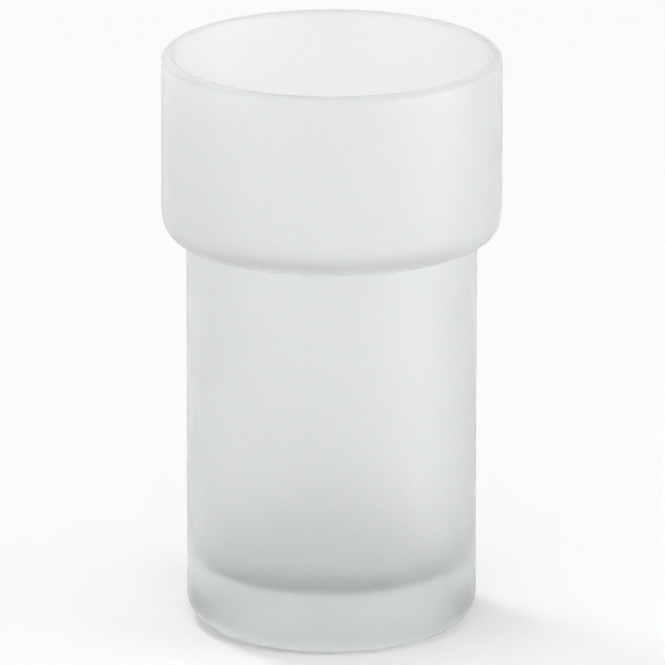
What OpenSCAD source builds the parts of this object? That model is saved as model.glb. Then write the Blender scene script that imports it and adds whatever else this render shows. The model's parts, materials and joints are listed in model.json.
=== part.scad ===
// Frosted tumbler for a wall-mounted ring holder, blown in a mould as one piece of glass.
// A wide collar hangs on the holder's ring, a narrower stem passes down through the ring,
// and a thick foot closes the stem. Lengths are in millimetres, and +Z is up.
// The wall is drawn once as a section, with the radius across and the height up, and turned about Z.

/* [Tumbler] */
// Height from the ring it stands on to the rim
tumbler_h = 113.8; // [100:0.1:130]

/* [Collar] */
// Outside diameter of the collar
collar_d = 66; // [63:0.1:72]
// Thickness of the collar's wall
collar_wall = 2.5; // [2.2:0.1:3]
// Rounding of the rim's outer edge; the inner edge takes the rest of the wall
rim_outer_r = 1.6; // [1.2:0.1:2]
// Height of the seat, the flat underside of the collar that rests on the holder's ring
seat_z = 77.9; // [66:0.1:86]
// Width of the seat, from the stem's wall out to the shoulder's rounding
seat_w = 2; // [1.2:0.1:2.4]
// Height of the shoulder's rounding, from the seat up to the collar's straight wall
shoulder_round_h = 5.3; // [3:0.1:8]
// Thickness of the glass between the seat and the ledge inside
ledge_t = 1.9; // [1.6:0.1:4]

/* [Stem] */
// Outside diameter of the stem
stem_d = 56.4; // [52:0.1:58]
// Thickness of the stem's wall
stem_wall = 2.8; // [2.2:0.1:4]
// Fillet in the corner where the stem meets the seat
neck_fillet_r = 0.6; // [0.3:0.1:0.9]

/* [Foot] */
// Thickness of the floor
floor_t = 11.2; // [6:0.1:14]
// Rounding inside, where the floor meets the wall
floor_round_r = 7; // [2:0.1:10]
// Width of the foot's outer rounding
foot_round_w = 4.6; // [2:0.1:5]
// Height of the foot's outer rounding
foot_round_h = 5.4; // [2:0.1:8]
// Width of the flat ring that the tumbler stands on
ring_w = 4.6; // [2:0.1:8]
// Depth of the shallow hollow inside that ring, at its middle
punt_h = 0.8; // [0.4:0.1:2]

/* [Hidden] */

// Straight pieces in each quarter of a rounding
arc_steps = 12;
// Steps of the turn about Z
turn_fn = 180;
// Shares of the inner ledge's width: its rounding over the stem's bore, and the one into the collar's bore
ledge_edge_share = 0.45;
ledge_corner_share = 0.5;

collar_r = collar_d / 2;
stem_r = stem_d / 2;
punt_r = stem_r - foot_round_w - ring_w;
shoulder_round_w = collar_r - stem_r - seat_w;
rim_inner_r = collar_wall - rim_outer_r;

collar_bore_r = collar_r - collar_wall;
stem_bore_r = stem_r - stem_wall;
ledge_z = seat_z + ledge_t;
ledge_w = collar_bore_r - stem_bore_r;
ledge_edge_r = ledge_edge_share * ledge_w;
ledge_corner_r = ledge_corner_share * ledge_w;

// A quarter of an ellipse about `at`, with half axes `w` and `h`: it starts at the angle `from`
// and turns left round a rounded edge, or right (way = -1) into a rounded corner.
function quarter(at, w, h, from, way = 1) = [
    for (i = [0:arc_steps])
        let (a = from + way * 90 * i / arc_steps)
            [at[0] + w * cos(a), at[1] + h * sin(a)]
];

// The hollow under the foot: one smooth swell, level at its middle and where it meets the ring.
function punt_points() = [
    for (i = [0:arc_steps])
        let (across = i / arc_steps)
            [punt_r * across, punt_h * (1 + cos(180 * across)) / 2]
];

// The outside, from the middle of the foot out and up to the top of the rim.
function outer_points() = concat(
    punt_points(),
    quarter([stem_r - foot_round_w, foot_round_h], foot_round_w, foot_round_h, -90),
    quarter([stem_r + neck_fillet_r, seat_z - neck_fillet_r], neck_fillet_r, neck_fillet_r, 180, -1),
    quarter([collar_r - shoulder_round_w, seat_z + shoulder_round_h],
            shoulder_round_w, shoulder_round_h, -90),
    quarter([collar_r - rim_outer_r, tumbler_h - rim_outer_r], rim_outer_r, rim_outer_r, 0)
);

// The inside, from the top of the rim down over the ledge to the middle of the floor.
function inner_points() = concat(
    quarter([collar_bore_r + rim_inner_r, tumbler_h - rim_inner_r], rim_inner_r, rim_inner_r, 90),
    quarter([collar_bore_r - ledge_corner_r, ledge_z + ledge_corner_r],
            ledge_corner_r, ledge_corner_r, 0, -1),
    quarter([stem_bore_r + ledge_edge_r, ledge_z - ledge_edge_r], ledge_edge_r, ledge_edge_r, 90),
    quarter([stem_bore_r - floor_round_r, floor_t + floor_round_r], floor_round_r, floor_round_r, 0, -1),
    [[0, floor_t]]
);

module glass_tumbler() {
    color("#e2e8e6")
        rotate_extrude($fn = turn_fn)
            polygon(concat(outer_points(), inner_points()));
}

glass_tumbler();
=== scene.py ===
import json
import math
import bmesh
import bpy
from mathutils import Matrix, Quaternion, Vector


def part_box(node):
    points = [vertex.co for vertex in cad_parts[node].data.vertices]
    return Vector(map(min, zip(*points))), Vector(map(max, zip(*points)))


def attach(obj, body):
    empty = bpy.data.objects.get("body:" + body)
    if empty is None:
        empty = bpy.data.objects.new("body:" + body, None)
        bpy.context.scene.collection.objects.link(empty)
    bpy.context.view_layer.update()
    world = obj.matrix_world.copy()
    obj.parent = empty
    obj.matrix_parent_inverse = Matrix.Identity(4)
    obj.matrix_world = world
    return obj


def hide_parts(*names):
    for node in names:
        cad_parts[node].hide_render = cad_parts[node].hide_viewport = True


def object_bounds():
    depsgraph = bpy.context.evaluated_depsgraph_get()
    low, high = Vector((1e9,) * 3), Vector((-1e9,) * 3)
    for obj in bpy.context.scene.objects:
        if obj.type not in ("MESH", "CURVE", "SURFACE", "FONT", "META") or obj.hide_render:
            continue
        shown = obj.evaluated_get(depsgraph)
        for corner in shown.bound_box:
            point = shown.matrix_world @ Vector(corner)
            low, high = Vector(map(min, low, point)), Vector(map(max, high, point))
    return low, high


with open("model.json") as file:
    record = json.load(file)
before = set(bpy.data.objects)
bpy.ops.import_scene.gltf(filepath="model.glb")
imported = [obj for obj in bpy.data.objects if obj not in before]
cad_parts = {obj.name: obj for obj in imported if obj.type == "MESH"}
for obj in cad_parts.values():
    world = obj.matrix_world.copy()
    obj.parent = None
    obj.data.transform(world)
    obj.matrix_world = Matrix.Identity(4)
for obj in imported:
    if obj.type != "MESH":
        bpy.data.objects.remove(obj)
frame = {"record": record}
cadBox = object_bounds()
mounts = {m["name"]: m for m in frame["record"]["mounts"]}
mm = 0.001


def linearColour(hexText):
    # sRGB hex to the linear colour that shaders take
    shades = [int(hexText[i:i + 2], 16) / 255 for i in (0, 2, 4)]
    return [s / 12.92 if s <= 0.04045 else ((s + 0.055) / 1.055) ** 2.4 for s in shades] + [1.0]


def addNode(tree, kind, settings=None, links=None):
    # one node, its settings and sockets by name, and its links as socket: (node, output)
    node = tree.nodes.new(kind)
    for name, value in (settings or {}).items():
        if hasattr(node, name):
            setattr(node, name, value)
        else:
            node.inputs[name].default_value = value
    for socket, (source, output) in (links or {}).items():
        tree.links.new(source.outputs[output], node.inputs[socket])
    return node


# Glass tumbler: one blown wall, turned about Z

tumbler = {
    "name": "glassTumbler",
    "collarWall": 2.5 * mm,
    "stemWall": 2.8 * mm,
    "seatWidth": 2.0 * mm,       # flat underside of the collar, from the stem's wall outwards
    "shoulderHeight": 5.3 * mm,  # of the rounding over the seat
    "rimOuterRound": 1.6 * mm,   # the rim's inner edge takes the rest of the wall
    "ledgeThickness": 1.9 * mm,  # of the glass between the seat and the ledge inside
    "ledgeEdgeShare": 0.45,      # of the ledge's width, for its two roundings
    "ledgeCornerShare": 0.5,
    "plainUnderSeat": 2.0 * mm,  # the inside is etched no deeper than the outside from this far
    "plainOverSeat": 6.0 * mm,   # under the seat to this far over it
    "floorThickness": 11.2 * mm,
    "floorRound": 7.0 * mm,
    "footWidth": 4.6 * mm,       # of the foot's outer rounding
    "ringWidth": 4.6 * mm,       # flat ring that it stands on
    "puntDepth": 0.8 * mm,       # of the shallow hollow inside the ring
    "puntFlatShare": 0.18,       # of the hollow's radius, level at its middle and again at its edge
    "puntRoundShare": 0.17,      # of the same, for the bend at each end of its slope
    "roundSteps": 10,
    "wallStep": 3.0 * mm,        # spacing of the edge loops along a straight wall
    "turnSteps": 192,
    "weldReach": 0.001 * mm,     # points nearer to each other than this are merged
}


def buildTumbler(t):
    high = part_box("glass_tumbler")[1]
    height, collarRadius = high[2], high[0]
    stemMount = mounts["holder_stem"]
    stemRadius = stemMount["dims"]["r_mm"] * mm
    stemMiddle, stemHalf = stemMount["pos_m"][2], stemMount["dims"]["length_mm"] * mm / 2
    seatHeight = mounts["shoulder_seat"]["pos_m"][2]
    footHeight = stemMiddle - stemHalf
    neckFillet = seatHeight - (stemMiddle + stemHalf)
    shoulderWidth = collarRadius - stemRadius - t["seatWidth"]
    collarBore = collarRadius - t["collarWall"]
    stemBore = stemRadius - t["stemWall"]
    ledgeWidth = collarBore - stemBore
    ledgeHeight = seatHeight + t["ledgeThickness"]
    puntRadius = stemRadius - t["footWidth"] - t["ringWidth"]
    puntFlat = t["puntFlatShare"] * puntRadius
    puntRound = t["puntRoundShare"] * puntRadius

    # corners of the section: radius, height, rounding, and how far the rounding is drawn out in height
    corners = [
        (0, t["puntDepth"], 0, 1),
        (puntFlat, t["puntDepth"], puntRound, 1),
        (puntRadius - puntFlat, 0, puntRound, 1),
        (stemRadius, 0, t["footWidth"], footHeight / t["footWidth"]),
        (stemRadius, seatHeight, neckFillet, 1),
        (collarRadius, seatHeight, shoulderWidth, t["shoulderHeight"] / shoulderWidth),
        (collarRadius, height, t["rimOuterRound"], 1),
        (collarBore, height, t["collarWall"] - t["rimOuterRound"], 1),
        (collarBore, ledgeHeight, t["ledgeCornerShare"] * ledgeWidth, 1),
        (stemBore, ledgeHeight, t["ledgeEdgeShare"] * ledgeWidth, 1),
        (stemBore, t["floorThickness"], t["floorRound"], 1),
        (0, t["floorThickness"], 0, 1),
    ]
    bm = bmesh.new()
    points = [bm.verts.new((radius, 0, z)) for radius, z, rounding, stretch in corners]
    for a, b in zip(points, points[1:]):
        bm.edges.new((a, b))
    for point, (radius, z, rounding, stretch) in zip(points, corners):
        if rounding:
            arc = bmesh.ops.bevel(bm, geom=[point], offset=rounding, offset_type="OFFSET",
                                  segments=t["roundSteps"], profile=0.5, affect="VERTICES", material=-1)
            bmesh.ops.scale(bm, vec=(1, 1, stretch), space=Matrix.Translation((0, 0, -z)),
                            verts=arc["verts"])
    bmesh.ops.remove_doubles(bm, verts=bm.verts, dist=t["weldReach"])
    for edge in list(bm.edges):
        cuts = int(edge.calc_length() / t["wallStep"])
        if cuts:
            bmesh.ops.subdivide_edges(bm, edges=[edge], cuts=cuts)
    # the inside is marked where it is etched deeper than the outside, which leaves out the ledge
    inside = bm.verts.layers.float.new("inside")
    stemTop, collarFoot = seatHeight - t["plainUnderSeat"], seatHeight + t["plainOverSeat"]
    for point in bm.verts:
        radius, z = point.co.x, point.co.z
        inStem = radius < stemRadius - t["stemWall"] / 2 and t["floorThickness"] / 2 < z < stemTop
        inCollar = radius < collarRadius - t["collarWall"] / 2 and z > collarFoot
        point[inside] = 1.0 if inStem or inCollar else 0.0
    bmesh.ops.spin(bm, geom=bm.verts[:] + bm.edges[:], cent=(0, 0, 0), axis=(0, 0, 1),
                   angle=2 * math.pi, steps=t["turnSteps"], use_merge=True, use_duplicate=False)
    bmesh.ops.remove_doubles(bm, verts=bm.verts, dist=t["weldReach"])
    bmesh.ops.recalc_face_normals(bm, faces=bm.faces)
    for face in bm.faces:
        face.smooth = True
    mesh = bpy.data.meshes.new(t["name"])
    bm.to_mesh(mesh)
    bm.free()
    piece = bpy.data.objects.new(t["name"], mesh)
    bpy.context.collection.objects.link(piece)
    return piece


# Satin glass: soda-lime glass, blown in a mould and acid-etched inside and out. The etch blurs what is
# behind it and turns every reflection into a soft sheen, and the thick foot shows the glass's grey tint.
# The inside is etched deeper and spreads light as milk glass does, so it glows where light falls in.

satinGlass = {
    "name": "etchedSodaLimeGlass",
    "colour": "FAFBFB",          # what the etch leaves of white light at each pass
    "deepColour": "F5F6F6",      # and in its deeper pits, which gives a faint speckle
    "deepTo": 0.4,               # height of the grain up to which it has the deep colour,
    "plainFrom": 0.6,            # and from which it has the other
    "tint": "899A9B",            # with the density, what a length of glass leaves of white light
    "density": 4.0,              # absorption for each metre of glass
    "ior": 1.5,
    "roughness": 0.52,
    "roughnessSpread": 0.07,
    "insideMilk": 0.12,          # share of the light that the inside spreads every way
    "grainDepth": 0.02 * mm,
    # the grain is the etch's pits, really under 0.05 mm, drawn coarser so that they show
    "grain": {"size": 0.7 * mm, "detail": 3.0, "falloff": 0.6},
    # the cloud is the slow unevenness of the acid bath
    "cloud": {"size": 6.0 * mm, "detail": 2.0, "falloff": 0.5},
    "cloudRange": (0.3, 0.7),    # values of the cloud that give the lowest and the highest roughness
}


def makeSatinGlass(s):
    material = bpy.data.materials.new(s["name"])
    material.use_nodes = True
    tree = material.node_tree
    tree.nodes.clear()
    place = addNode(tree, "ShaderNodeTexCoord")
    grain, cloud = [addNode(tree, "ShaderNodeTexNoise",
                            {"Scale": 1 / p["size"], "Detail": p["detail"], "Roughness": p["falloff"]},
                            {"Vector": (place, "Object")})
                    for p in (s["grain"], s["cloud"])]
    roughness = addNode(tree, "ShaderNodeMapRange",
                        {"From Min": s["cloudRange"][0], "From Max": s["cloudRange"][1],
                         "To Min": s["roughness"] - s["roughnessSpread"],
                         "To Max": s["roughness"] + s["roughnessSpread"]},
                        {"Value": (cloud, "Fac")})
    pits = addNode(tree, "ShaderNodeBump", {"Strength": 1.0, "Distance": s["grainDepth"]},
                   {"Height": (grain, "Fac")})
    speckle = addNode(tree, "ShaderNodeValToRGB", {}, {"Fac": (grain, "Fac")})
    deepStop, plainStop = speckle.color_ramp.elements
    deepStop.position, deepStop.color = s["deepTo"], linearColour(s["deepColour"])
    plainStop.position, plainStop.color = s["plainFrom"], linearColour(s["colour"])
    glass = addNode(tree, "ShaderNodeBsdfPrincipled", {"IOR": s["ior"], "Transmission Weight": 1.0},
                    {"Base Color": (speckle, "Color"), "Roughness": (roughness, "Result"),
                     "Normal": (pits, "Normal")})
    milk = addNode(tree, "ShaderNodeBsdfTranslucent", {"Color": linearColour(s["colour"])})
    inside = addNode(tree, "ShaderNodeAttribute", {"attribute_name": "inside"})
    share = addNode(tree, "ShaderNodeMapRange", {"To Max": s["insideMilk"]}, {"Value": (inside, "Fac")})
    wall = addNode(tree, "ShaderNodeMixShader", {},
                   {0: (share, "Result"), 1: (glass, "BSDF"), 2: (milk, "BSDF")})
    body = addNode(tree, "ShaderNodeVolumeAbsorption",
                   {"Color": linearColour(s["tint"]), "Density": s["density"]})
    addNode(tree, "ShaderNodeOutputMaterial", {},
            {"Surface": (wall, "Shader"), "Volume": (body, "Volume")})
    return material


glassTumbler = buildTumbler(tumbler)
glassTumbler.data.materials.append(makeSatinGlass(satinGlass))
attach(glassTumbler, "root")
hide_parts("glass_tumbler")
print("tumbler:", len(glassTumbler.data.polygons), "faces")


# Studio: pale floor, soft lamps and a plain white background

studio = {
    "floorSize": 6.0,
    "floorColour": "FCFCFC",
    "background": "FFFFFF",
    "backgroundLevel": 1.0,      # shows as it is written
    "backgroundShare": 0.6,      # how much of it there is in the floor as seen, away from the glass,
    "shareFrom": 18 * mm,        # with none up to this distance from the glass's axis,
    "shareTo": 60 * mm,          # and all of the share from this one, so that the shadow stays
    "ambientColour": "FFFFFF",
    "ambient": 0.44,
    "bounces": 24,               # a view through the foot crosses many surfaces
}


def seenShare(tree):
    # 1 for camera, glossy and transmission rays, and 0 once they have met a matt surface
    ray = addNode(tree, "ShaderNodeLightPath")
    mirrored = addNode(tree, "ShaderNodeMath", {"operation": "MAXIMUM"},
                       {0: (ray, "Is Glossy Ray"), 1: (ray, "Is Transmission Ray")})
    shown = addNode(tree, "ShaderNodeMath", {"operation": "MAXIMUM"},
                    {0: (ray, "Is Camera Ray"), 1: (mirrored, "Value")})
    return addNode(tree, "ShaderNodeMath", {"operation": "SUBTRACT", "use_clamp": True},
                   {0: (shown, "Value"), 1: (ray, "Diffuse Depth")})


def makeFloor(s):
    bm = bmesh.new()
    bmesh.ops.create_grid(bm, x_segments=1, y_segments=1, size=s["floorSize"] / 2)
    mesh = bpy.data.meshes.new("studioFloor")
    bm.to_mesh(mesh)
    bm.free()
    floor = bpy.data.objects.new("studioFloor", mesh)
    bpy.context.collection.objects.link(floor)
    # matt paint spreads light evenly and mirrors nothing, so the floor shows only a soft shadow
    material = bpy.data.materials.new("paintedFloor")
    material.use_nodes = True
    tree = material.node_tree
    tree.nodes.clear()
    paint = addNode(tree, "ShaderNodeBsdfDiffuse", {"Color": linearColour(s["floorColour"])})
    white = addNode(tree, "ShaderNodeEmission",
                    {"Color": linearColour(s["background"]), "Strength": s["backgroundLevel"]})
    place = addNode(tree, "ShaderNodeTexCoord")
    distance = addNode(tree, "ShaderNodeVectorMath", {"operation": "LENGTH"},
                       {"Vector": (place, "Object")})
    away = addNode(tree, "ShaderNodeMapRange",
                   {"interpolation_type": "SMOOTHSTEP", "From Min": s["shareFrom"],
                    "From Max": s["shareTo"], "To Max": s["backgroundShare"]},
                   {"Value": (distance, "Value")})
    share = addNode(tree, "ShaderNodeMath", {"operation": "MULTIPLY"},
                    {0: (seenShare(tree), "Value"), 1: (away, "Result")})
    surface = addNode(tree, "ShaderNodeMixShader", {},
                      {0: (share, "Value"), 1: (paint, "BSDF"), 2: (white, "Emission")})
    addNode(tree, "ShaderNodeOutputMaterial", {}, {"Surface": (surface, "Shader")})
    mesh.materials.append(material)


def makeWorld(s):
    world = bpy.data.worlds.new("studioWorld")
    bpy.context.scene.world = world
    world.use_nodes = True
    tree = world.node_tree
    tree.nodes.clear()
    plain = addNode(tree, "ShaderNodeBackground",
                    {"Color": linearColour(s["ambientColour"]), "Strength": s["ambient"]})
    white = addNode(tree, "ShaderNodeBackground",
                    {"Color": linearColour(s["background"]), "Strength": s["backgroundLevel"]})
    sky = addNode(tree, "ShaderNodeMixShader", {},
                  {0: (seenShare(tree), "Value"), 1: (plain, "Background"), 2: (white, "Background")})
    addNode(tree, "ShaderNodeOutputWorld", {}, {"Surface": (sky, "Shader")})


softboxes = {
    # azimuth seen from above, 0 towards the camera and 90 to its right; elevation over the level;
    # distance from the glass and size in metres; and level, where 1 is as bright as lit white paper
    "keySoftbox": {"azimuth": 75, "elevation": 8, "distance": 2.4, "size": (1.8, 0.8), "level": 10.7},
    "fillSoftbox": {"azimuth": -60, "elevation": 8, "distance": 2.4, "size": (1.26, 0.72), "level": 5.4},
    "frontSoftbox": {"azimuth": 0, "elevation": 57, "distance": 2.4, "size": (1.2, 1.2), "level": 2.6},
    "backSoftbox": {"azimuth": -138, "elevation": 60, "distance": 3.0, "size": (0.5, 0.5), "level": 27.0},
}


def makeSoftbox(name, s, target):
    lamp = bpy.data.lights.new(name, "AREA")
    lamp.shape = "RECTANGLE"
    lamp.size, lamp.size_y = s["size"]
    lamp.energy = s["level"] * math.pi * lamp.size * lamp.size_y
    softbox = bpy.data.objects.new(name, lamp)
    softbox.visible_camera = False
    turn, lift = math.radians(s["azimuth"]), math.radians(s["elevation"])
    away = Vector((math.sin(turn) * math.cos(lift), -math.cos(turn) * math.cos(lift), math.sin(lift)))
    softbox.location = target + away * s["distance"]
    softbox.rotation_euler = away.to_track_quat("Z", "Y").to_euler()
    bpy.context.collection.objects.link(softbox)


# Camera: a long lens 17 degrees above the level of the glass, fitted to the photo's outline

camera = {
    "distance": 2283.2 * mm,
    "elevation": 16.894,
    "roll": 0.059,
    "lens": 636.4,
    "sensor": 36,
    "aim": (0.16 * mm, 0.0, 0.51 * mm),  # from the glass's middle
}


def makeCamera(c, target):
    lens = bpy.data.cameras.new("photoCamera")
    lens.lens, lens.sensor_width = c["lens"], c["sensor"]
    eye = bpy.data.objects.new("photoCamera", lens)
    lift = math.radians(c["elevation"])
    eye.location = target + c["distance"] * Vector((0, -math.cos(lift), math.sin(lift)))
    look = target + Vector(c["aim"]) - eye.location
    roll = Quaternion((0, 0, 1), math.radians(c["roll"]))
    eye.rotation_mode = "QUATERNION"
    eye.rotation_quaternion = look.to_track_quat("-Z", "Y") @ roll
    bpy.context.collection.objects.link(eye)
    bpy.context.scene.camera = eye


middle = (cadBox[0] + cadBox[1]) / 2
makeFloor(studio)
makeWorld(studio)
for name, settings in softboxes.items():
    makeSoftbox(name, settings, middle)
makeCamera(camera, middle)
scene = bpy.context.scene
scene.view_settings.view_transform = "Standard"
scene.cycles.max_bounces = studio["bounces"]
scene.cycles.glossy_bounces = studio["bounces"]
scene.cycles.transmission_bounces = studio["bounces"]
print("studio ready")
